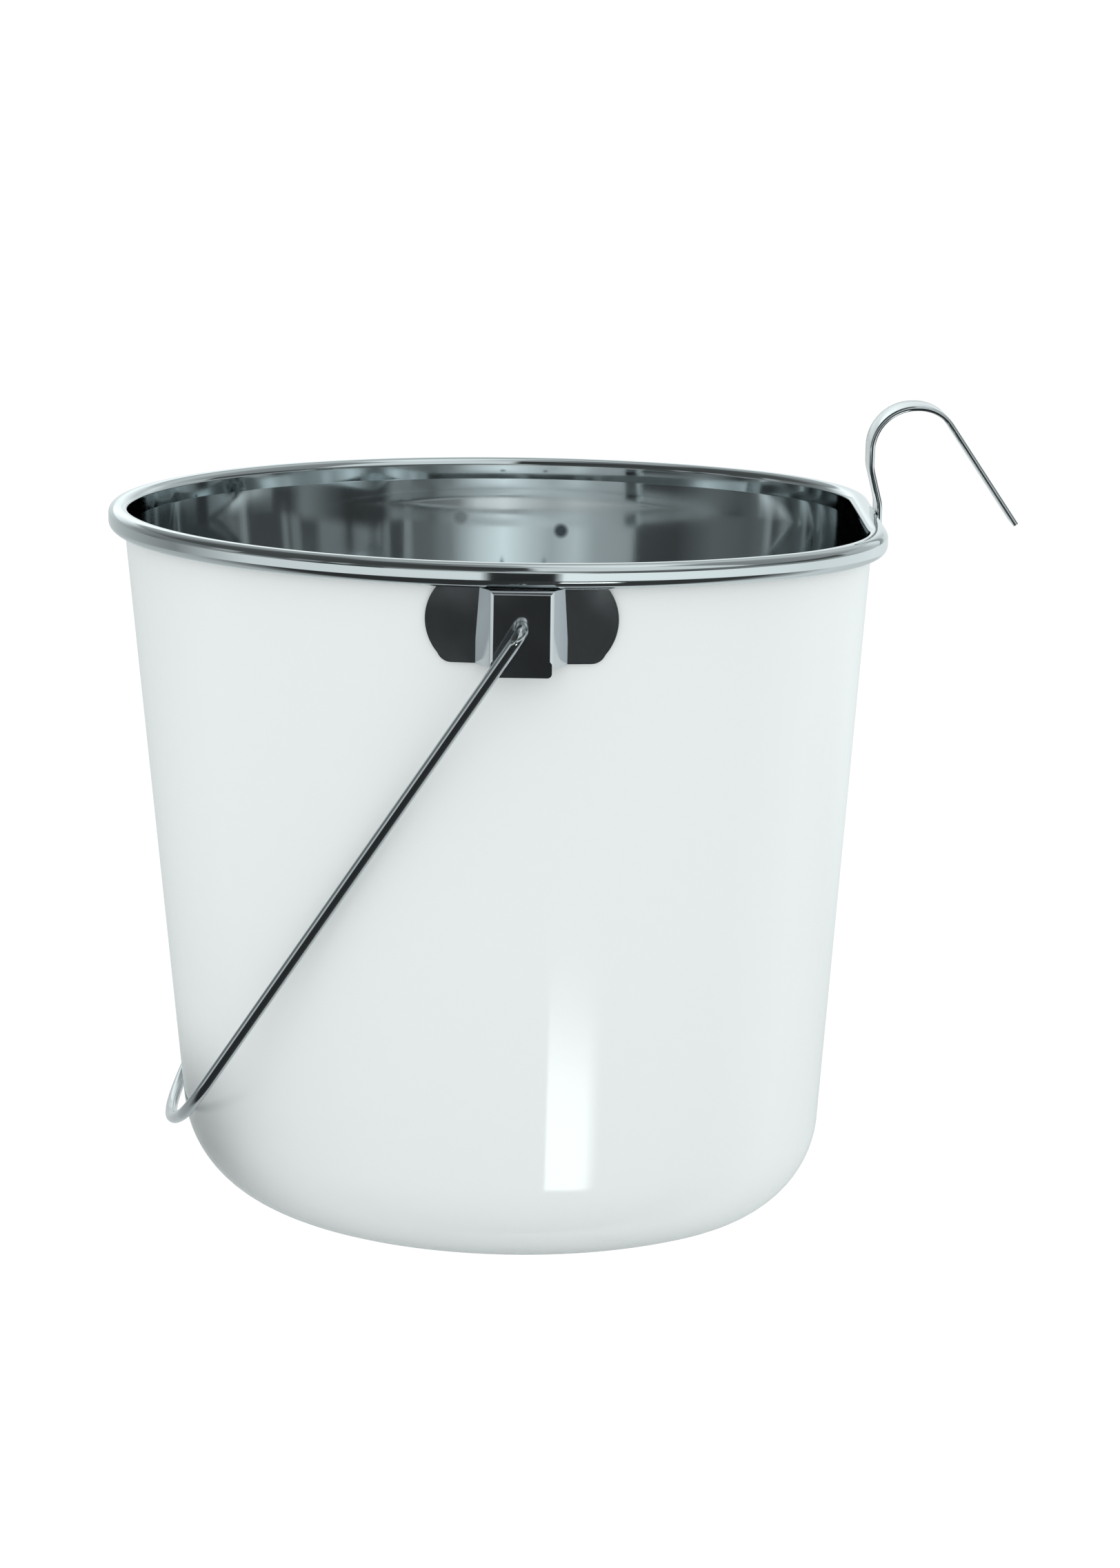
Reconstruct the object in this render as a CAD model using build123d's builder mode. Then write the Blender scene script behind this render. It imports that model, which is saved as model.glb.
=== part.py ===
from build123d import *

import os
from math import atan2, cos, degrees, radians, sin, tan

# Flat-sided hook-over pail with a swinging wire bail.
#
# The origin is on the floor under the centre of the round side. +Z is up, +X points
# out of the flat side where the hook is, and the two bail ears stand on the Y axis.
# The bail hangs down on the round side, -X.

# Pan: a tapered round body with one flattened side (outside of the white coat)
pail_height = 216.0
base_radius = 101.0  # round side, carried down to the floor
rim_radius = 122.8  # round side, carried up to the rim
base_flat = 92.2  # distance from the axis to the flat side at the floor
rim_flat = 104.5
side_corner = 77.7  # plan radius between the flat and the round side
base_corner = 32.6  # radius between the wall and the base
steel = 0.9
coat = 0.3
bare_radius = 58.0  # uncoated disc that the pail stands on

# Rolled rim
bead_height = 7.1
bead_radius = 127.0
bead_roll = 2.5
curl_gap = 0.4  # between the curled-under edge and the wall
bead_low = pail_height - bead_height

# Bail
wire_radius = 1.8
pivot_z = pail_height - 17.5
bail_rest = 32.0  # lean of the hanging bail from the vertical, in degrees
bail_length = 203.0  # pivot to the centre of the wire at the crown
arm_slope = 18.8  # each arm's lean towards the middle, in degrees
crown_radius = 150.0
crown_slope = 26.0  # half of the crown's turn, in degrees
knee_radius = 28.0  # between an arm and the crown
wire_bend = 3.0
pin_fit = 0.06
pin_head_radius = 2.7
pin_head = 1.3

# Ears: a plate on the wall with a raised tongue in the middle that carries the bail
ear_plate = 1.1
ear_gap = 0.02  # between an ear and the coat
ear_face = 128.0  # outer face of the raised tongue
tongue_half = 8.6
flank_half = 12.9  # half width of the tongue where it meets the wall
tongue_bend = 1.2
tongue_corner = 1.3
wing_half = 27.2
wing_top_half = 24.0
wing_low_half = 23.6
wing_foot_half = 19.8
ear_top = bead_low - 0.2
wing_bottom = pail_height - 29.0
tongue_bottom = pail_height - 31.8
weld_offset = 20.0
weld_z = pail_height - 21.8
weld_radius = 6.0
weld_depth = 0.25

# Hook strap on the flat side
strap_width = 18.0
strap = 1.6
strap_centre = 15.0  # it stands to one side of the middle of the flat
strap_gap = 0.03  # between the strap and the coat
strap_foot = 150.0
knee_drop = 10.0  # from the underside of the rim to where the strap leaves the wall
rim_clearance = 0.35
hook_step = 2.8  # inward step of the strap above the rim
hook_top = pail_height + 31.0
hook_reach = 152.5
hook_tip = pail_height - 4.6
tip_slope = radians(34.5)


def wall_radius(z):
    """Outside radius of the round side at height z."""
    return base_radius + (rim_radius - base_radius) * z / pail_height


def wall_flat(z):
    """Distance from the axis to the outside of the flat side at height z."""
    return base_flat + (rim_flat - base_flat) * z / pail_height


def outline(z, radius, flat, corner):
    """Plan outline at height z: a circle cut by a flat, with rounded corners."""
    centre_x = flat - corner
    centre_y = ((radius - corner) ** 2 - centre_x**2) ** 0.5
    turn = degrees(atan2(centre_y, centre_x))
    with BuildSketch(Plane.XY.offset(z)) as plan:
        with BuildLine():
            CenterArc((0, 0), radius, turn, 360 - 2 * turn)
            CenterArc((centre_x, -centre_y), corner, -turn, turn)
            Line((flat, -centre_y), (flat, centre_y))
            CenterArc((centre_x, centre_y), corner, 0, turn)
        make_face()
    return plan.sketch


def pan_body(inset, floor):
    """Solid pan, inset from the outside of the wall, standing at height floor."""
    with BuildPart() as body:
        for z in (floor, bead_low):
            add(outline(z, wall_radius(z) - inset, wall_flat(z) - inset, side_corner - inset))
        loft(ruled=True)
        fillet(body.edges().group_by(Axis.Z)[0], base_corner - inset)
    return body.part


def rim_ring(grow, low, high, roll):
    """Solid slab, grown outwards from the wall's outline under the rim."""
    radius = wall_radius(bead_low) + grow
    flat = wall_flat(bead_low) + grow
    with BuildPart() as slab:
        add(outline(low, radius, flat, side_corner + grow))
        extrude(amount=high - low, dir=(0, 0, 1))
        if roll > 0:
            rings = slab.edges().group_by(Axis.Z)
            fillet(rings[0] + rings[-1], roll)
    return slab.part


def inner_loop(edges):
    """The edges of the smaller of two nested plan outlines."""
    round_edges = edges.filter_by(GeomType.CIRCLE)
    inner_radius = min(edge.radius for edge in round_edges.sort_by(SortBy.LENGTH)[-2:])
    loop = [edge for edge in round_edges if abs(edge.radius - inner_radius) < 0.01]
    grown = True
    while grown:
        grown = False
        for edge in edges:
            if any(edge.is_same(known) for known in loop):
                continue
            if any(edge.distance_to(known) < 0.001 for known in loop):
                loop.append(edge)
                grown = True
    return ShapeList(loop)


def cone_skin(inner, outer):
    """Skin on the round wall between two offsets, from below the ears to the rim."""
    low = tongue_bottom
    high = pail_height
    with BuildPart() as skin:
        with BuildSketch(Plane.XZ):
            with BuildLine():
                Polyline(
                    (wall_radius(low) + inner, low),
                    (wall_radius(low) + outer, low),
                    (wall_radius(high) + outer, high),
                    (wall_radius(high) + inner, high),
                    close=True,
                )
            make_face()
        revolve(axis=Axis.Z)
    return skin.part


def tongue(half_face, half_foot, face, bottom, top):
    """Raised block of an ear that widens from its face towards the wall."""
    root = wall_radius(pivot_z) - 6
    with BuildPart() as block:
        with BuildSketch(Plane.XY.offset(bottom)):
            with BuildLine():
                Polyline(
                    (-half_face, -face),
                    (half_face, -face),
                    (half_foot, -wall_radius(pivot_z)),
                    (half_foot, -root),
                    (-half_foot, -root),
                    (-half_foot, -wall_radius(pivot_z)),
                    close=True,
                )
            make_face()
        extrude(amount=top - bottom)
        front = block.faces().sort_by(Axis.Y)[0]
        fillet(front.edges().filter_by(Axis.Z) + front.edges().group_by(Axis.Z)[-1], tongue_bend)
    return block.part


# Solids that the pan, its coat and its rim are cut from
bead_out = bead_radius - wall_radius(bead_low)
outer_body = pan_body(0, 0)
coat_inside = pan_body(coat, coat)
pan_inside = pan_body(coat + steel, coat + steel)
bead_outside = rim_ring(bead_out, bead_low, pail_height, bead_roll)
bead_hollow = rim_ring(bead_out - steel, bead_low + steel, pail_height - steel, bead_roll - steel)
hollow_core = rim_ring(-coat, bead_low, pail_height, 0)
rim_mouth = rim_ring(-coat - steel, bead_low, pail_height + steel, 0)
curl_slot = rim_ring(curl_gap, bead_low, bead_low + 2 * steel, 0)

with BuildPart() as curl_space:
    add(bead_hollow)
    add(hollow_core, mode=Mode.SUBTRACT)
    hollow_edges = curl_space.edges().filter_by_position(Axis.Z, pail_height - 1.01 * steel, pail_height)
    fillet(inner_loop(hollow_edges), bead_roll - steel)

with BuildPart() as slot_space:
    add(curl_slot)
    add(hollow_core, mode=Mode.SUBTRACT)

# Steel pan with its rolled rim
with BuildPart() as pail_shell:
    add(coat_inside)
    with BuildSketch(Plane.XY):
        Circle(bare_radius)
    extrude(amount=2 * coat)
    add(bead_outside)
    add(pan_inside, mode=Mode.SUBTRACT)
    add(curl_space.part, mode=Mode.SUBTRACT)
    add(slot_space.part, mode=Mode.SUBTRACT)
    add(rim_mouth, mode=Mode.SUBTRACT)
    top_edges = pail_shell.edges().filter_by_position(Axis.Z, pail_height - 0.01, pail_height + 0.01)
    fillet(inner_loop(top_edges), bead_roll - 0.1)
pail_shell.part.label = "pail_shell"

# White coat on the outside of the wall, left off the standing face
with BuildPart() as outer_coat:
    add(outer_body)
    add(coat_inside, mode=Mode.SUBTRACT)
    with BuildSketch(Plane.XY):
        Circle(bare_radius)
    extrude(amount=2 * coat, mode=Mode.SUBTRACT)
outer_coat.part.label = "outer_coat"

# Ears: wings that follow the wall, a hollow raised tongue and the bail hole
ear_skin = cone_skin(ear_gap, ear_gap + ear_plate)
behind_ear = cone_skin(-30, ear_gap)
tongue_block = tongue(tongue_half, flank_half, ear_face, wing_bottom, ear_top)
tongue_space = tongue(
    tongue_half - 0.8 * ear_plate,
    flank_half - 1.3 * ear_plate,
    ear_face - ear_plate,
    wing_bottom - ear_plate,
    ear_top - ear_plate,
)

with BuildPart() as front_ear:
    with BuildSketch(Plane.XZ.offset(wall_radius(0))):
        with BuildLine():
            wing_top = (-wing_top_half, ear_top)
            wing_low = (-wing_low_half, wing_bottom + 2.6)
            wing_foot = (-wing_foot_half, wing_bottom)
            ThreePointArc(wing_top, (-wing_half, pivot_z + 1.0), wing_low)
            ThreePointArc(wing_low, (-wing_low_half + 1.4, wing_bottom + 0.8), wing_foot)
            Line(wing_foot, (0, wing_bottom))
            Line((0, wing_bottom), (0, ear_top))
            Line((0, ear_top), wing_top)
        make_face()
        mirror(about=Plane.YZ)
    extrude(amount=40)
    add(ear_skin, mode=Mode.INTERSECT)
    add(tongue_block)
    with BuildSketch(Plane.XZ.offset(ear_face - ear_plate)):
        with Locations((0, (tongue_bottom + wing_bottom) / 2 + 1)):
            RectangleRounded(2 * tongue_half, wing_bottom - tongue_bottom + 2, tongue_corner)
    extrude(amount=ear_plate)
    add(tongue_space, mode=Mode.SUBTRACT)
    add(behind_ear, mode=Mode.SUBTRACT)
    with Locations(Location((0, -ear_face, pivot_z), (90, 0, 0))):
        Cylinder(wire_radius + pin_fit, 6 * ear_plate, mode=Mode.SUBTRACT)
    weld_y = (wall_radius(weld_z) ** 2 - weld_offset**2) ** 0.5 + ear_plate + weld_radius - weld_depth
    with Locations((-weld_offset, -weld_y, weld_z), (weld_offset, -weld_y, weld_z)):
        Sphere(weld_radius, mode=Mode.SUBTRACT)
front_ear.part.label = "front_ear"

with BuildPart() as rear_ear:
    add(front_ear.part)
    mirror(about=Plane.XZ, mode=Mode.REPLACE)
rear_ear.part.label = "rear_ear"

# Bail: one wire with its ends turned in through the ears and headed over
knee_turn = 90 - arm_slope - crown_slope
knee_tangent = knee_radius * tan(radians(knee_turn / 2))
bend_tangent = wire_bend * tan(radians(45 + arm_slope / 2))
crown_side = crown_radius * tan(radians(crown_slope)) + knee_tangent
crown_corner = bail_length - crown_radius + crown_radius / cos(radians(crown_slope))
knee_out = crown_side * cos(radians(crown_slope))
knee_down = crown_corner - crown_side * sin(radians(crown_slope))
arm_offset = knee_out + knee_down * tan(radians(arm_slope))
arm_run = knee_down / cos(radians(arm_slope)) - bend_tangent - knee_tangent
lean = radians(bail_rest)
pin_end = wall_radius(pivot_z) + 0.8
bail_plane = Plane(
    origin=(0, 0, pivot_z),
    x_dir=(0, 1, 0),
    z_dir=(-cos(lean), 0, sin(lean)),
)

with BuildPart() as bail:
    with BuildLine(bail_plane):
        pin_run = Line((-pin_end, 0), (-arm_offset + bend_tangent, 0))
        first_bend = JernArc(pin_run @ 1, pin_run % 1, wire_bend, -90 - arm_slope)
        first_arm = Line(first_bend @ 1, first_bend @ 1 + (first_bend % 1) * arm_run)
        first_knee = JernArc(first_arm @ 1, first_arm % 1, knee_radius, -knee_turn)
        crown = JernArc(first_knee @ 1, first_knee % 1, crown_radius, -2 * crown_slope)
        last_knee = JernArc(crown @ 1, crown % 1, knee_radius, -knee_turn)
        last_arm = Line(last_knee @ 1, last_knee @ 1 + (last_knee % 1) * arm_run)
        last_bend = JernArc(last_arm @ 1, last_arm % 1, wire_bend, -90 - arm_slope)
        Line(last_bend @ 1, last_bend @ 1 + (last_bend % 1) * (arm_offset - bend_tangent - pin_end))
    with BuildSketch(Plane(pin_run @ 0, z_dir=pin_run % 0)):
        Circle(wire_radius)
    sweep()
    for side in (-1, 1):
        with Locations(Location((0, side * (pin_end + pin_head / 2), pivot_z), (90, 0, 0))):
            Cylinder(pin_head_radius, pin_head)
bail.part.label = "bail"

# Hook: one flat strap, spot-welded to the flat side and stepped out past the rim bead
strap_out = wall_flat(bead_low) + bead_out + rim_clearance + strap / 2
strap_in = strap_out - hook_step
foot_x = wall_flat(strap_foot) + strap / 2 + strap_gap
knee_z = bead_low - knee_drop
knee_x = wall_flat(knee_z) + strap / 2 + strap_gap
tip_x = hook_reach - (hook_top - hook_tip) * tan(tip_slope)

with BuildPart() as hook_strap:
    with BuildLine(Plane.XZ.offset(-strap_centre)) as strap_line:
        FilletPolyline(
            (foot_x, strap_foot),
            (knee_x, knee_z),
            (strap_out, bead_low - 0.5),
            (strap_out, pail_height + 1),
            (strap_in, pail_height + 12),
            (strap_in, hook_top),
            (tip_x, hook_top),
            (hook_reach, hook_tip),
            radius=[6, 5, 12, 12, 13.5, 12],
        )
    start = strap_line.wires()[0]
    with BuildSketch(Plane(start @ 0, x_dir=(0, 1, 0), z_dir=start % 0)):
        Rectangle(strap_width, strap)
    sweep()
hook_strap.part.label = "hook_strap"

os.makedirs("parts", exist_ok=True)
for piece in (pail_shell, outer_coat, front_ear, rear_ear, bail, hook_strap):
    print(piece.part.label, len(piece.part.solids()), round(piece.part.volume), piece.part.is_valid)
    export_step(piece.part, "parts/" + piece.part.label + ".step")
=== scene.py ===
import math

import bmesh
import bpy
from mathutils import Matrix, Vector


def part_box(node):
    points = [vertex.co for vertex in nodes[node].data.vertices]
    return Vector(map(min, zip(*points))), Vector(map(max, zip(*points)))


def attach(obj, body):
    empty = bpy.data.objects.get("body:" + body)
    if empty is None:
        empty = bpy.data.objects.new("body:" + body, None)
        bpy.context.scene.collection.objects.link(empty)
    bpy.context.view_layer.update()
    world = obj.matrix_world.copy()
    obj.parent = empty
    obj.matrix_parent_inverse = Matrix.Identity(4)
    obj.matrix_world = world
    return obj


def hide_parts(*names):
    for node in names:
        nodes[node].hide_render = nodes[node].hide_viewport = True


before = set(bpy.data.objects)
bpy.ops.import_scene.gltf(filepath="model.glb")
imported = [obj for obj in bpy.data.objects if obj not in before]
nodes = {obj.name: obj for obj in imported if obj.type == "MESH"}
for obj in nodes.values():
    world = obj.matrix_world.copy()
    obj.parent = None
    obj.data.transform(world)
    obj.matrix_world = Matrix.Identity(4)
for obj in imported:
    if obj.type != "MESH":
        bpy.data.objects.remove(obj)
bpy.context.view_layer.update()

# ---------------------------------------------------------------- sizes, in metres
shell_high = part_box("pail_shell")[1]
HEIGHT = shell_high.z  # rim top above the floor
BEAD_RADIUS = shell_high.y  # outside of the rolled rim, round side
BEAD_LOW = HEIGHT - 0.0071  # underside of the rolled rim
BASE_RADIUS, RIM_RADIUS = 0.1010, 0.1228  # round side, carried to the floor and to the rim
BASE_FLAT, RIM_FLAT = 0.0922, 0.1045  # flat side, the same way
SIDE_CORNER = 0.0777  # plan radius between flat and round side
BASE_CORNER = 0.0326  # radius between wall and base
STEEL, COAT = 0.0009, 0.0003
COAT_SKIN = 0.97 * COAT  # the coat's inner face stands clear of the steel
ROLL = 0.0025  # corner radius of the rolled rim's section
CURL_GAP = 0.0004  # between the curled-under edge and the wall
PAD_RADIUS = 0.058  # bare disc that the pail stands on
WALL_STEPS = 24  # rings up a wall

PIVOT = HEIGHT - 0.0175
WIRE = 0.001797  # radius, a hair under the CAD's so that the model stays inside its box
LEAN = math.radians(32.0)  # of the hanging bail, from the vertical
BAIL_LENGTH = 0.203  # pivot to the middle of the wire at the crown
ARM_SLOPE = math.radians(18.8)
CROWN_RADIUS = 0.150
CROWN_SLOPE = math.radians(26.0)
KNEE_RADIUS = 0.028
WIRE_BEND = 0.003
PIN_INSET = 0.0008  # from the coat to the wire's headed end, behind the ear
PIN_HEAD = 0.0013  # length of the head
HEAD = 0.0027  # radius of the head
HEAD_EDGE = 0.0003

STRAP_WIDTH, STRAP = 0.018, 0.0016
STRAP_CENTRE = 0.015
STRAP_GAP = 0.00003
STRAP_FOOT = 0.150
KNEE_DROP = 0.010  # from the underside of the rim to where the strap leaves the wall
RIM_CLEARANCE = 0.00035
HOOK_STEP = 0.0028  # inward step above the rim
STEP_START, STEP_END = HEIGHT + 0.001, HEIGHT + 0.012
HOOK_TOP = HEIGHT + 0.031
HOOK_REACH = 0.1525
HOOK_TIP = HEIGHT - 0.0046
TIP_SLOPE = math.radians(34.5)
HOOK_BENDS = (0.006, 0.005, 0.012, 0.012, 0.0135, 0.012)  # from the knee to the tip
STRAP_EDGE = 0.32 * STRAP  # rounding of the strap's long edges

# marks of the ear welds on the inside of the wall: x, y, height, how dark
WELD_MARKS = [
    (-0.0200, -0.1182, HEIGHT - 0.0218, 0.8),
    (0.0200, -0.1182, HEIGHT - 0.0218, 0.8),
    (-0.0210, 0.1180, HEIGHT - 0.0198, 0.45),
    (0.0127, 0.1189, HEIGHT - 0.0240, 1.0),
]
WELD_EDGE, WELD_CORE = 0.0030, 0.0014  # radii where a mark ends and where it is darkest

ROUND_LEAN = math.atan((RIM_RADIUS - BASE_RADIUS) / HEIGHT)


# ---------------------------------------------------------------- mesh helpers
def wall_radius(z):
    return BASE_RADIUS + (RIM_RADIUS - BASE_RADIUS) * z / HEIGHT


def wall_flat(z):
    return BASE_FLAT + (RIM_FLAT - BASE_FLAT) * z / HEIGHT


def outline(radius, flat, corner, z):
    """One ring of points: a circle cut by a flat, with rounded corners."""
    centre_x = flat - corner
    centre_y = math.sqrt((radius - corner) ** 2 - centre_x**2)
    turn = math.atan2(centre_y, centre_x)
    round_steps, corner_steps, flat_steps = 168, 26, 10
    ring = []
    for i in range(round_steps):
        a = turn + (2 * math.pi - 2 * turn) * i / round_steps
        ring.append(Vector((radius * math.cos(a), radius * math.sin(a), z)))
    for i in range(corner_steps):
        a = -turn + turn * i / corner_steps
        ring.append(Vector((centre_x + corner * math.cos(a), -centre_y + corner * math.sin(a), z)))
    for i in range(flat_steps):
        ring.append(Vector((flat, -centre_y + 2 * centre_y * i / flat_steps, z)))
    for i in range(corner_steps):
        a = turn * i / corner_steps
        ring.append(Vector((centre_x + corner * math.cos(a), centre_y + corner * math.sin(a), z)))
    return ring


def wall_ring(z, inset=0.0):
    return outline(wall_radius(z) - inset, wall_flat(z) - inset, SIDE_CORNER - inset, z)


def rim_ring(grow, z):
    """A ring grown outwards from the wall's outline just under the rolled rim."""
    return outline(wall_radius(BEAD_LOW) + grow, wall_flat(BEAD_LOW) + grow, SIDE_CORNER + grow, z)


def base_rings(inset, steps=18):
    """Rings of the rounded base corner, from the base up to the wall, inset from the outside."""
    roll = BASE_CORNER - inset
    rings = []
    for i in range(steps + 1):
        a = -math.pi / 2 + (math.pi / 2 - ROUND_LEAN) * i / steps
        z = inset + roll + roll * math.sin(a)
        start = inset + roll - roll * math.sin(ROUND_LEAN)
        radius = wall_radius(start) - inset - roll * (math.cos(ROUND_LEAN) - math.cos(a))
        flat = wall_flat(start) - inset - roll * (math.cos(ROUND_LEAN) - math.cos(a))
        corner = SIDE_CORNER - inset - roll * (math.cos(ROUND_LEAN) - math.cos(a))
        rings.append(outline(radius, flat, corner, z))
    return rings


def wall_start(inset):
    """Height at which the base corner meets the straight wall."""
    roll = BASE_CORNER - inset
    return inset + roll - roll * math.sin(ROUND_LEAN)


def scaled(ring, factor, z=None):
    """The ring drawn in towards the axis, at its own heights or at z."""
    return [Vector((p.x * factor, p.y * factor, p.z if z is None else z)) for p in ring]


def pad_ring(ring, z):
    """The edge of the standing disc, point for point round the axis like the ring."""
    return [Vector((PAD_RADIUS * p.x / p.xy.length, PAD_RADIUS * p.y / p.xy.length, z)) for p in ring]


def arc_offsets(centre, radius, start, end, steps):
    """(offset, height) pairs along an arc of the rim's section; angles in degrees."""
    out = []
    for i in range(steps + 1):
        a = math.radians(start + (end - start) * i / steps)
        out.append((centre[0] + radius * math.cos(a), centre[1] + radius * math.sin(a)))
    return out


def skin(name, rings, closed=False, material=None, sharp=35):
    """A mesh through rings with the same number of points; the end rings are capped or joined."""
    bm = bmesh.new()
    rows = [[bm.verts.new(p) for p in ring] for ring in rings]
    pairs = list(zip(rows, rows[1:]))
    if closed:
        pairs.append((rows[-1], rows[0]))
    n = len(rows[0])
    for a, b in pairs:
        for i in range(n):
            j = (i + 1) % n
            bm.faces.new((a[i], a[j], b[j], b[i]))
    if not closed:
        for row in (rows[0], rows[-1]):
            if (row[0].co - row[n // 2].co).length > 1e-6:
                middle = bm.verts.new(sum((v.co for v in row), Vector()) / n)
                for i in range(n):
                    bm.faces.new((row[i], row[(i + 1) % n], middle))
    bmesh.ops.remove_doubles(bm, verts=bm.verts, dist=1e-7)
    bmesh.ops.recalc_face_normals(bm, faces=bm.faces)
    return finish_mesh(name, bm, material, sharp)


def finish_mesh(name, bm, material, sharp=35):
    mesh = bpy.data.meshes.new(name)
    bm.to_mesh(mesh)
    bm.free()
    mesh.shade_smooth()
    mesh.set_sharp_from_angle(angle=math.radians(sharp))
    obj = bpy.data.objects.new(name, mesh)
    bpy.context.scene.collection.objects.link(obj)
    if material:
        mesh.materials.append(material)
    return obj


# ---------------------------------------------------------------- materials
SMUDGE_SCALE, WAVE_SCALE, LINE_SCALE = 38, 26, 900  # noise sizes on the steel, per metre
LINE_DEPTH = 0.000004
WELD_DULL = 0.3  # roughness that a weld mark adds
WELD_TINT = (0.25, 0.28, 0.32)  # how much of the steel's colour is left in a weld mark
CLOUD_SCALE, PEEL_SCALE = 9, 420  # noise sizes on the coat, per metre
PEEL_DEPTH = 0.00001
COAT_ROUGH = (0.045, 0.065)
COAT_TINTS = ((0.80, 0.853, 0.845, 1), (0.82, 0.861, 0.860, 1))


def new_material(name):
    mat = bpy.data.materials.new(name)
    mat.use_nodes = True
    nt = mat.node_tree
    return mat, nt, nt.nodes["Principled BSDF"]


def add_node(nt, kind, **values):
    node = nt.nodes.new(kind)
    for key, value in values.items():
        if key.startswith("in_"):
            node.inputs[key[3:].replace("_", " ")].default_value = value
        else:
            setattr(node, key, value)
    return node


def math_node(nt, operation, *sources):
    node = add_node(nt, "ShaderNodeMath", operation=operation)
    for i, source in enumerate(sources):
        if isinstance(source, (int, float)):
            node.inputs[i].default_value = source
        else:
            nt.links.new(source, node.inputs[i])
    return node.outputs[0]


def stretched_noise(nt, scale, stretch, detail=4.0):
    """Noise in object coordinates, stretched to follow a drawing or polishing direction."""
    coords = add_node(nt, "ShaderNodeTexCoord")
    mapping = add_node(nt, "ShaderNodeMapping")
    mapping.inputs["Scale"].default_value = stretch
    noise = add_node(nt, "ShaderNodeTexNoise", in_Scale=scale, in_Detail=detail)
    nt.links.new(coords.outputs["Object"], mapping.inputs["Vector"])
    nt.links.new(mapping.outputs["Vector"], noise.inputs["Vector"])
    return noise


def ramp_between(nt, source, low, high, start=0.35, end=0.65):
    """Takes source from start..end to low..high."""
    ramp = add_node(nt, "ShaderNodeMapRange", in_From_Min=start, in_From_Max=end)
    ramp.inputs["To Min"].default_value = low
    ramp.inputs["To Max"].default_value = high
    nt.links.new(source, ramp.inputs["Value"])
    return ramp.outputs["Result"]


def weld_mask(nt):
    """1 inside the round marks that the ear welds leave on the wall, 0 elsewhere."""
    coords = add_node(nt, "ShaderNodeTexCoord")
    total = None
    for x, y, z, strength in WELD_MARKS:
        gap = add_node(nt, "ShaderNodeVectorMath", operation="DISTANCE")
        gap.inputs[1].default_value = (x, y, z)
        edge = add_node(nt, "ShaderNodeMapRange", in_From_Min=WELD_EDGE, in_From_Max=WELD_CORE)
        edge.inputs["To Max"].default_value = strength
        nt.links.new(coords.outputs["Object"], gap.inputs[0])
        nt.links.new(gap.outputs["Value"], edge.inputs["Value"])
        if total is None:
            total = edge.outputs["Result"]
        else:
            total = math_node(nt, "ADD", total, edge.outputs["Result"])
    return total


def polished_steel(name, color, rough, wave=0.00006, welds=False):
    """Bright steel: slow waves from drawing, fine polishing lines and faint smudges."""
    mat, nt, shader = new_material(name)
    shader.inputs["Metallic"].default_value = 1.0
    shader.inputs["Base Color"].default_value = (*color, 1)
    smudge = stretched_noise(nt, SMUDGE_SCALE, (1, 1, 1))
    roughness = ramp_between(nt, smudge.outputs["Fac"], rough * 0.7, rough * 1.6)
    waves = stretched_noise(nt, WAVE_SCALE, (1, 1, 0.35), detail=1.5)
    lines = stretched_noise(nt, LINE_SCALE, (1, 1, 0.04), detail=2)
    bump = add_node(nt, "ShaderNodeBump", in_Strength=1.0, in_Distance=wave)
    fine = add_node(nt, "ShaderNodeBump", in_Strength=0.35, in_Distance=LINE_DEPTH)
    nt.links.new(waves.outputs["Fac"], bump.inputs["Height"])
    nt.links.new(lines.outputs["Fac"], fine.inputs["Height"])
    nt.links.new(bump.outputs["Normal"], fine.inputs["Normal"])
    nt.links.new(fine.outputs["Normal"], shader.inputs["Normal"])
    if welds:
        mask = weld_mask(nt)
        mix = add_node(nt, "ShaderNodeMix", data_type="RGBA")
        mix.inputs["A"].default_value = (*color, 1)
        mix.inputs["B"].default_value = tuple(c * t for c, t in zip(color, WELD_TINT)) + (1,)
        nt.links.new(mask, mix.inputs["Factor"])
        nt.links.new(mix.outputs["Result"], shader.inputs["Base Color"])
        roughness = math_node(nt, "MULTIPLY_ADD", mask, WELD_DULL, roughness)
    nt.links.new(roughness, shader.inputs["Roughness"])
    return mat


def white_enamel():
    """Gloss white coat with a faint orange-peel surface."""
    mat, nt, shader = new_material("white_coat")
    cloud = stretched_noise(nt, CLOUD_SCALE, (1, 1, 1), detail=3)
    nt.links.new(ramp_between(nt, cloud.outputs["Fac"], *COAT_ROUGH), shader.inputs["Roughness"])
    tint = add_node(nt, "ShaderNodeMix", data_type="RGBA")
    tint.inputs["A"].default_value, tint.inputs["B"].default_value = COAT_TINTS
    nt.links.new(cloud.outputs["Fac"], tint.inputs["Factor"])
    nt.links.new(tint.outputs["Result"], shader.inputs["Base Color"])
    peel = stretched_noise(nt, PEEL_SCALE, (1, 1, 1), detail=1)
    bump = add_node(nt, "ShaderNodeBump", in_Strength=0.3, in_Distance=PEEL_DEPTH)
    nt.links.new(peel.outputs["Fac"], bump.inputs["Height"])
    nt.links.new(bump.outputs["Normal"], shader.inputs["Normal"])
    return mat


STEEL_COLOR = (0.66, 0.70, 0.71)
steel_mat = polished_steel("polished_steel", STEEL_COLOR, 0.05, wave=0.00003, welds=True)
ear_mat = polished_steel("ear_steel", (0.60, 0.63, 0.65), 0.10, wave=0.00002)
wire_mat = polished_steel("wire_steel", (0.50, 0.53, 0.54), 0.09, wave=0.00001)
hook_mat = polished_steel("hook_steel", (0.64, 0.67, 0.68), 0.10, wave=0.00002)
coat_mat = white_enamel()


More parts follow.
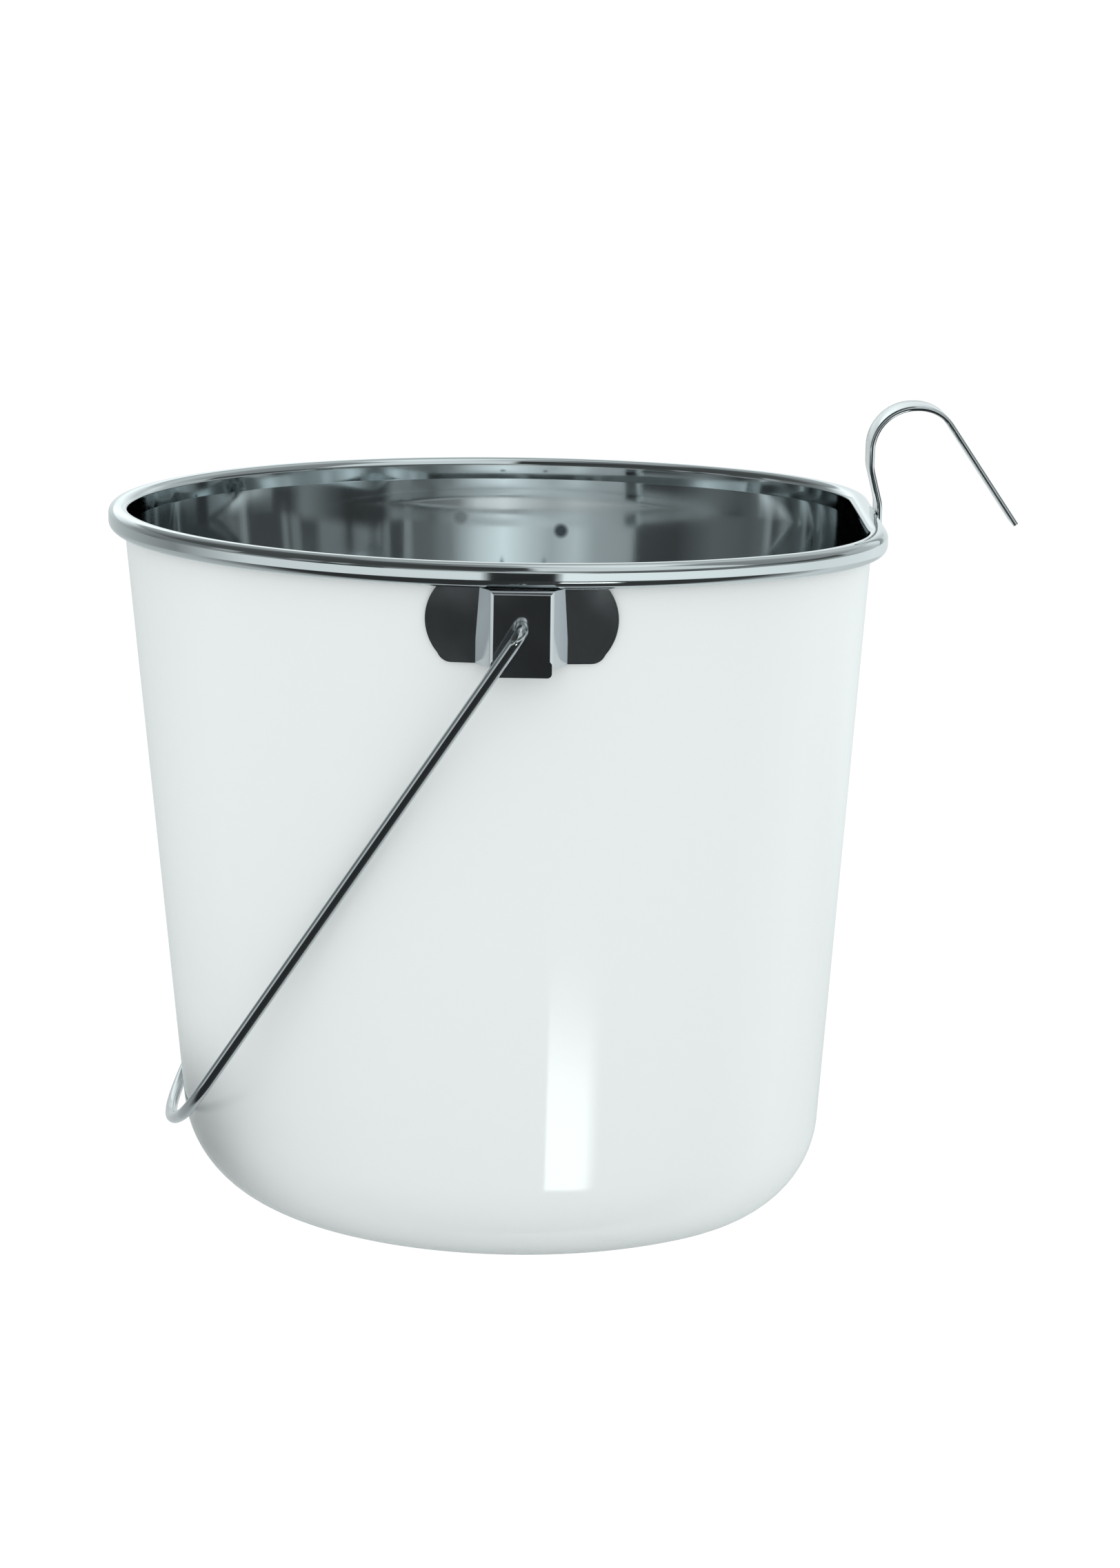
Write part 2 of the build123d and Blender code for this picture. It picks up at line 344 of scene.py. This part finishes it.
# ---------------------------------------------------------------- pan and coat
def make_shell():
    """Steel pan with its rolled rim, as one closed skin."""
    inside = COAT + STEEL
    inner_corner = base_rings(inside)
    rings = [scaled(inner_corner[0], f, inside) for f in (0.001, 0.35, 0.7, 0.96)]
    rings += inner_corner
    start = wall_start(inside)
    for i in range(1, WALL_STEPS + 1):
        rings.append(wall_ring(start + (BEAD_LOW - start) * i / WALL_STEPS, inside))
    out = BEAD_RADIUS - wall_radius(BEAD_LOW)
    rim = [(-inside, BEAD_LOW + 0.0004)]
    rim += arc_offsets((-inside + ROLL, HEIGHT - ROLL), ROLL, 180, 90, 10)
    rim += arc_offsets((out - ROLL, HEIGHT - ROLL), ROLL, 90, 0, 10)
    rim += arc_offsets((out - ROLL, BEAD_LOW + ROLL), ROLL, 0, -90, 10)
    rim += [(CURL_GAP, BEAD_LOW), (CURL_GAP, BEAD_LOW + 2 * STEEL), (-COAT, BEAD_LOW + 2 * STEEL)]
    rim += [(-COAT, BEAD_LOW)]
    rings += [rim_ring(grow, z) for grow, z in rim]
    start = wall_start(COAT)
    for i in range(1, WALL_STEPS + 1):
        rings.append(wall_ring(BEAD_LOW - (BEAD_LOW - start) * i / WALL_STEPS, COAT))
    outer_corner = list(reversed(base_rings(COAT)))
    rings += outer_corner[1:]
    rings.append(pad_ring(outer_corner[-1], COAT))
    rings.append([Vector((p.x, p.y, 0)) for p in rings[-1]])
    rings.append(scaled(rings[-1], 0.5))
    rings.append(scaled(rings[-1], 0.001))
    obj = skin("pail_shell_skin", rings, material=steel_mat)
    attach(obj, "pail")
    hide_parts("pail_shell")


def make_coat():
    """White coat: outer face, a flat top edge under the rim, and its inner face."""
    corner = base_rings(0.0)
    pad_edge = pad_ring(corner[0], 0)
    rings = [pad_edge]
    rings += corner
    start = wall_start(0.0)
    for i in range(1, 33):
        rings.append(wall_ring(start + (BEAD_LOW - start) * i / 32, 0.0))
    rings.append(wall_ring(BEAD_LOW, COAT_SKIN))
    start = wall_start(COAT)
    for i in range(1, WALL_STEPS + 1):
        rings.append(wall_ring(BEAD_LOW - (BEAD_LOW - start) * i / WALL_STEPS, COAT_SKIN))
    rings += list(reversed(base_rings(COAT_SKIN)))[1:]
    rings.append([Vector((p.x, p.y, COAT_SKIN)) for p in pad_edge])
    obj = skin("outer_coat_skin", rings, closed=True, material=coat_mat, sharp=50)
    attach(obj, "pail")
    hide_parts("outer_coat")


def tube(name, points, radius, material, sides=28):
    """A round wire along points, with its radius at each point and flat ends."""
    rings = []
    turn = Vector((0, 0, 1))
    for i, p in enumerate(points):
        ahead = points[min(i + 1, len(points) - 1)] - points[max(i - 1, 0)]
        ahead.normalize()
        side = ahead.cross(turn).normalized() if abs(ahead.dot(turn)) < 0.99 else Vector((1, 0, 0))
        up = side.cross(ahead).normalized()
        ring = []
        for k in range(sides):
            a = 2 * math.pi * k / sides
            ring.append(p + (side * math.cos(a) + up * math.sin(a)) * radius[i])
        rings.append(ring)
    return skin(name, rings, material=material, sharp=50)


def rounded_path(corners, radii, steps=14):
    """A line through corners, each one rounded with its radius."""
    path = [Vector(corners[0])]
    for before, here, after, radius in zip(corners, corners[1:], corners[2:], radii):
        here = Vector(here)
        back = (Vector(before) - here).normalized()
        ahead = (Vector(after) - here).normalized()
        half = back.angle(ahead) / 2
        centre = here + (back + ahead).normalized() * radius / math.sin(half)
        start = here + back * radius / math.tan(half) - centre
        end = here + ahead * radius / math.tan(half) - centre
        sweep = math.atan2(start.x * end.y - start.y * end.x, start.dot(end))
        for i in range(steps + 1):
            a = sweep * i / steps
            path.append(centre + Matrix.Rotation(a, 2) @ start)
    path.append(Vector(corners[-1]))
    return path


def make_bail():
    """The wire in its own plane (across, along), then leaned over to hang against the round side."""
    knee_turn = math.pi / 2 - ARM_SLOPE - CROWN_SLOPE
    crown_side = CROWN_RADIUS * math.tan(CROWN_SLOPE) + KNEE_RADIUS * math.tan(knee_turn / 2)
    crown_corner = BAIL_LENGTH - CROWN_RADIUS + CROWN_RADIUS / math.cos(CROWN_SLOPE)
    knee_out = crown_side * math.cos(CROWN_SLOPE)
    knee_down = crown_corner - crown_side * math.sin(CROWN_SLOPE)
    arm_offset = knee_out + knee_down * math.tan(ARM_SLOPE)
    pin_end = wall_radius(PIVOT) + PIN_INSET
    head_end = pin_end + PIN_HEAD
    half = [(head_end + 0.0001, 0), (arm_offset, 0), (knee_out, knee_down)]
    corners = half + [(0, crown_corner)] + [(-x, z) for x, z in reversed(half)]
    radii = (WIRE_BEND, KNEE_RADIUS, CROWN_RADIUS, KNEE_RADIUS, WIRE_BEND)
    wire = rounded_path(corners, radii, steps=32)
    ends = [Vector((x, 0)) for x in (pin_end, pin_end + HEAD_EDGE, head_end - HEAD_EDGE, head_end)]
    thick = [HEAD - HEAD_EDGE, HEAD, HEAD, HEAD - HEAD_EDGE]
    whole = ends + wire + [Vector((-p.x, 0)) for p in reversed(ends)]
    widths = thick + [WIRE] * len(wire) + list(reversed(thick))
    points = [Vector((-p.y * math.sin(LEAN), p.x, PIVOT - p.y * math.cos(LEAN))) for p in whole]
    obj = tube("bail_wire", points, widths, wire_mat)
    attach(obj, "bail")
    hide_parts("bail")


def make_hook():
    """One strip with rounded edges, bent up the wall, round the rim and over into the hook."""
    out = wall_flat(BEAD_LOW) + BEAD_RADIUS - wall_radius(BEAD_LOW) + RIM_CLEARANCE + STRAP / 2
    inn = out - HOOK_STEP
    tip_x = HOOK_REACH - (HOOK_TOP - HOOK_TIP) * math.tan(TIP_SLOPE)
    knee = BEAD_LOW - KNEE_DROP
    corners = [
        (wall_flat(STRAP_FOOT) + STRAP / 2 + STRAP_GAP, STRAP_FOOT),
        (wall_flat(knee) + STRAP / 2 + STRAP_GAP, knee),
        (out, BEAD_LOW - 0.0005),
        (out, STEP_START),
        (inn, STEP_END),
        (inn, HOOK_TOP),
        (tip_x, HOOK_TOP),
        (HOOK_REACH, HOOK_TIP),
    ]
    path = rounded_path(corners, HOOK_BENDS)
    rings = []
    for i, p in enumerate(path):
        ahead = (path[min(i + 1, len(path) - 1)] - path[max(i - 1, 0)]).normalized()
        side = Vector((-ahead.y, ahead.x))
        ring = []
        for across, thick, start in ((1, 1, 0), (-1, 1, 90), (-1, -1, 180), (1, -1, 270)):
            for k in range(6):
                a = math.radians(start + 18 * k)
                y = across * (STRAP_WIDTH / 2 - STRAP_EDGE) + STRAP_EDGE * math.cos(a)
                t = thick * (STRAP / 2 - STRAP_EDGE) + STRAP_EDGE * math.sin(a)
                ring.append(Vector((p.x + side.x * t, STRAP_CENTRE + y, p.y + side.y * t)))
        rings.append(ring)
    obj = skin("hook_strip", rings, material=hook_mat, sharp=50)
    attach(obj, "pail")
    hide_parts("hook_strap")


def dress(node, material):
    """The CAD piece keeps its shape and gets a finished material."""
    nodes[node].data.materials.clear()
    nodes[node].data.materials.append(material)


make_shell()
make_coat()
make_bail()
make_hook()
dress("front_ear", ear_mat)
dress("rear_ear", ear_mat)


# ---------------------------------------------------------------- stage
# What polished metal sees, from below the horizon to overhead, as (degrees round the horizon, brightness).
# 0 degrees is behind the pail, positive to the right. In SKY each band has the elevations between which it
# takes over from the one below.
SKY_TOP = 6.0  # brightness that the ramps' full white stands for
WHITE = 1.06  # what the eye and diffuse light see
SKY_TINT = (0.92, 0.99, 1.0)
FLOOR_BAND = [(-180, 0.04), (-110, 0.04), (-75, 0.5), (75, 0.8), (110, 0.05), (180, 0.05)]
LOW_BAND = [
    (-180, 0.03), (-171, 0.03), (-169, 0.95), (-100, 0.85), (-70, 0.3), (-40, 0.5),
    (40, 1.0), (90, 0.95), (169, 1.15), (171, 0.03), (180, 0.03),
]
LEVEL_BAND = [
    (-180, 0.7), (-171, 0.5), (-164, 0.64), (-150, 0.4), (-144, 0.35), (-142, 0.07), (-124, 0.06),
    (-118, 0.15), (-108, 0.35), (-90, 0.3), (-60, 0.2), (0, 1.0), (60, 0.5), (90, 0.3),
    (112, 0.35), (126, 0.15), (136, 0.06), (150, 0.15), (160, 0.25), (166, 0.75), (174, 0.9), (180, 0.7),
]
PANEL_BAND = [
    (-180, 0.4), (-174, 0.1), (-134, 0.1), (-131, 0.35), (-127, 0.3), (-125, 0.08), (-122, 0.3),
    (-115, 0.3), (-113, 0.1), (-97, 0.1), (-94, 0.45), (-88, 0.4), (-84, 0.2), (-63, 0.22),
    (-44, 0.35), (-28, 1.0), (-12, 1.4), (3, 1.0), (17, 0.7), (32, 0.95), (44, 0.6), (66, 0.55),
    (70, 0.1), (95, 0.08), (120, 0.2), (150, 0.16), (170, 0.2), (178, 0.4), (180, 0.4),
]
HIGH_BAND = [
    (-180, 0.05), (-60, 0.10), (-20, 0.45), (0, 0.5), (30, 0.7), (60, 0.35), (110, 0.28),
    (116, 0.85), (175, 0.85), (178.5, 0.05), (180, 0.05),
]
OVERHEAD_BAND = [(-180, 0.5), (-110, 0.13), (-30, 0.6), (30, 1.0), (110, 1.1), (180, 0.5)]
SKY = [
    (-17, -12, LOW_BAND),
    (-4, -1, LEVEL_BAND),
    (6, 8, PANEL_BAND),
    (19, 24, HIGH_BAND),
    (62, 70, OVERHEAD_BAND),
]
# bright upright panel in front, low on the right, that makes the long highlight on the coat: where each
# of its soft edges starts and ends, in degrees
SOFT_BOX = {"low": (-36, -31), "high": (-27.5, -25.2), "left": (150, 157), "right": (168.6, 169.4)}
SOFT_BOX_POWER = 6.0
FLAG_SIZE = (0.06, 0.18, 1.0)
FLAG_PLACE = (-0.152, 0.005, 0.020)
FLAG_TILT, FLAG_TURN = math.radians(-55), math.radians(20)
FLOOR_HALF = 30.0
FLOOR_GLOW = 1.05
FLOOR_DROP = 0.0002  # keeps the floor off the standing face

CAMERA_LENS, CAMERA_SENSOR = 95.0, 36.0  # in millimetres
CAMERA_BACK = 1.2648  # in front of the pail's axis
CAMERA_RISE = 0.1652  # above the rim
CAMERA_YAW, CAMERA_PITCH, CAMERA_ROLL = 0.0100, 0.197, -0.017


def make_floor():
    """White floor: it bounces light on to the pail, and burns out to plain white in the picture."""
    bm = bmesh.new()
    bmesh.ops.create_grid(bm, x_segments=2, y_segments=2, size=FLOOR_HALF)
    mat, nt, shader = new_material("floor_white")
    shader.inputs["Base Color"].default_value = (0.95, 0.95, 0.95, 1)
    shader.inputs["Roughness"].default_value = 1.0
    shader.inputs["Specular IOR Level"].default_value = 0.0
    glow = add_node(nt, "ShaderNodeEmission", in_Strength=FLOOR_GLOW)
    path = add_node(nt, "ShaderNodeLightPath")
    mix = add_node(nt, "ShaderNodeMixShader")
    nt.links.new(path.outputs["Is Camera Ray"], mix.inputs[0])
    nt.links.new(shader.outputs[0], mix.inputs[1])
    nt.links.new(glow.outputs[0], mix.inputs[2])
    nt.links.new(mix.outputs[0], nt.nodes["Material Output"].inputs["Surface"])
    obj = finish_mesh("floor", bm, mat)
    obj.location.z = -FLOOR_DROP
    obj.visible_glossy = False


def make_flag():
    """A dark card low on the left that takes some light off the pail's lower left edge."""
    bm = bmesh.new()
    bmesh.ops.create_grid(bm, x_segments=1, y_segments=1, size=0.5)
    mat, nt, shader = new_material("flag_dark")
    shader.inputs["Base Color"].default_value = (0.08, 0.09, 0.09, 1)
    shader.inputs["Roughness"].default_value = 1.0
    obj = finish_mesh("flag", bm, mat)
    obj.scale = FLAG_SIZE
    obj.location = FLAG_PLACE
    obj.rotation_euler = (0, FLAG_TILT, FLAG_TURN)
    obj.visible_camera = False
    obj.visible_glossy = False


def sky_band(nt, azimuth, stops):
    """Brightness round the horizon; stops are (degrees, brightness)."""
    low, high = stops[0][0], stops[-1][0]
    place = add_node(nt, "ShaderNodeMapRange")
    place.inputs["From Min"].default_value = math.radians(low)
    place.inputs["From Max"].default_value = math.radians(high)
    ramp = nt.nodes.new("ShaderNodeValToRGB")
    elements = ramp.color_ramp.elements
    elements.remove(elements[1])
    for i, (degrees, value) in enumerate(stops):
        where = (degrees - low) / (high - low)
        stop = elements[0] if i == 0 else elements.new(where)
        stop.position = where
        stop.color = (value / SKY_TOP,) * 3 + (1,)
    nt.links.new(azimuth, place.inputs["Value"])
    nt.links.new(place.outputs["Result"], ramp.inputs["Fac"])
    return ramp.outputs["Color"]


def between(nt, source, start, end):
    """0 below start and 1 above end, in degrees, with soft ends."""
    node = add_node(nt, "ShaderNodeMapRange", interpolation_type="SMOOTHSTEP")
    node.inputs["From Min"].default_value = math.radians(start)
    node.inputs["From Max"].default_value = math.radians(end)
    nt.links.new(source, node.inputs["Value"])
    return node.outputs["Result"]


def mix_color(nt, factor, a, b, blend="MIX"):
    node = add_node(nt, "ShaderNodeMix", data_type="RGBA", blend_type=blend)
    for name, source in (("Factor", factor), ("A", a), ("B", b)):
        if isinstance(source, (tuple, float)):
            node.inputs[name].default_value = source
        else:
            nt.links.new(source, node.inputs[name])
    return node.outputs["Result"]


def make_sky():
    """White for the eye and for diffuse light; polished metal sees a dim studio with soft panels."""
    world = bpy.data.worlds.new("studio")
    bpy.context.scene.world = world
    world.use_nodes = True
    world.cycles.sampling_method = "NONE"
    nt = world.node_tree
    background = nt.nodes["Background"]
    coords = add_node(nt, "ShaderNodeTexCoord")
    split = add_node(nt, "ShaderNodeSeparateXYZ")
    nt.links.new(coords.outputs["Generated"], split.inputs[0])
    azimuth = math_node(nt, "ARCTAN2", split.outputs["X"], split.outputs["Y"])
    elevation = math_node(nt, "ARCSINE", split.outputs["Z"])
    panels = sky_band(nt, azimuth, FLOOR_BAND)
    for start, end, stops in SKY:
        panels = mix_color(nt, between(nt, elevation, start, end), panels, sky_band(nt, azimuth, stops))
    box = between(nt, elevation, *SOFT_BOX["low"])
    box = math_node(nt, "MULTIPLY", box, between(nt, azimuth, *SOFT_BOX["left"]))
    for edge, name in ((elevation, "high"), (azimuth, "right")):
        beyond = between(nt, edge, *SOFT_BOX[name])
        box = math_node(nt, "MULTIPLY", box, math_node(nt, "SUBTRACT", 1.0, beyond))
    panels = mix_color(nt, box, panels, (SOFT_BOX_POWER / SKY_TOP,) * 3 + (1,))
    tint = tuple(SKY_TOP * part for part in SKY_TINT) + (1,)
    scaled_sky = mix_color(nt, 1.0, panels, tint, "MULTIPLY")
    path = add_node(nt, "ShaderNodeLightPath")
    shown = mix_color(nt, path.outputs["Is Glossy Ray"], (WHITE, WHITE, WHITE, 1), scaled_sky)
    nt.links.new(shown, background.inputs["Color"])
    background.inputs["Strength"].default_value = 1.0


def make_camera():
    """Camera in front of the near ear, a little above the rim and looking slightly down."""
    data = bpy.data.cameras.new("camera")
    data.sensor_width = CAMERA_SENSOR
    data.lens = CAMERA_LENS
    obj = bpy.data.objects.new("camera", data)
    bpy.context.scene.collection.objects.link(obj)
    level = Vector((math.sin(CAMERA_YAW), math.cos(CAMERA_YAW), 0))
    right = Vector((math.cos(CAMERA_YAW), -math.sin(CAMERA_YAW), 0))
    forward = level * math.cos(CAMERA_PITCH) - Vector((0, 0, math.sin(CAMERA_PITCH)))
    up = right.cross(forward)
    turned_right = right * math.cos(CAMERA_ROLL) - up * math.sin(CAMERA_ROLL)
    turned_up = right * math.sin(CAMERA_ROLL) + up * math.cos(CAMERA_ROLL)
    axes = Matrix((turned_right, turned_up, -forward)).transposed()
    obj.matrix_world = Matrix.Translation((0, -CAMERA_BACK, HEIGHT + CAMERA_RISE)) @ axes.to_4x4()
    bpy.context.scene.camera = obj


make_floor()
make_flag()
make_sky()
make_camera()
bpy.context.scene.view_settings.view_transform = "Standard"
bpy.context.scene.view_settings.look = "None"
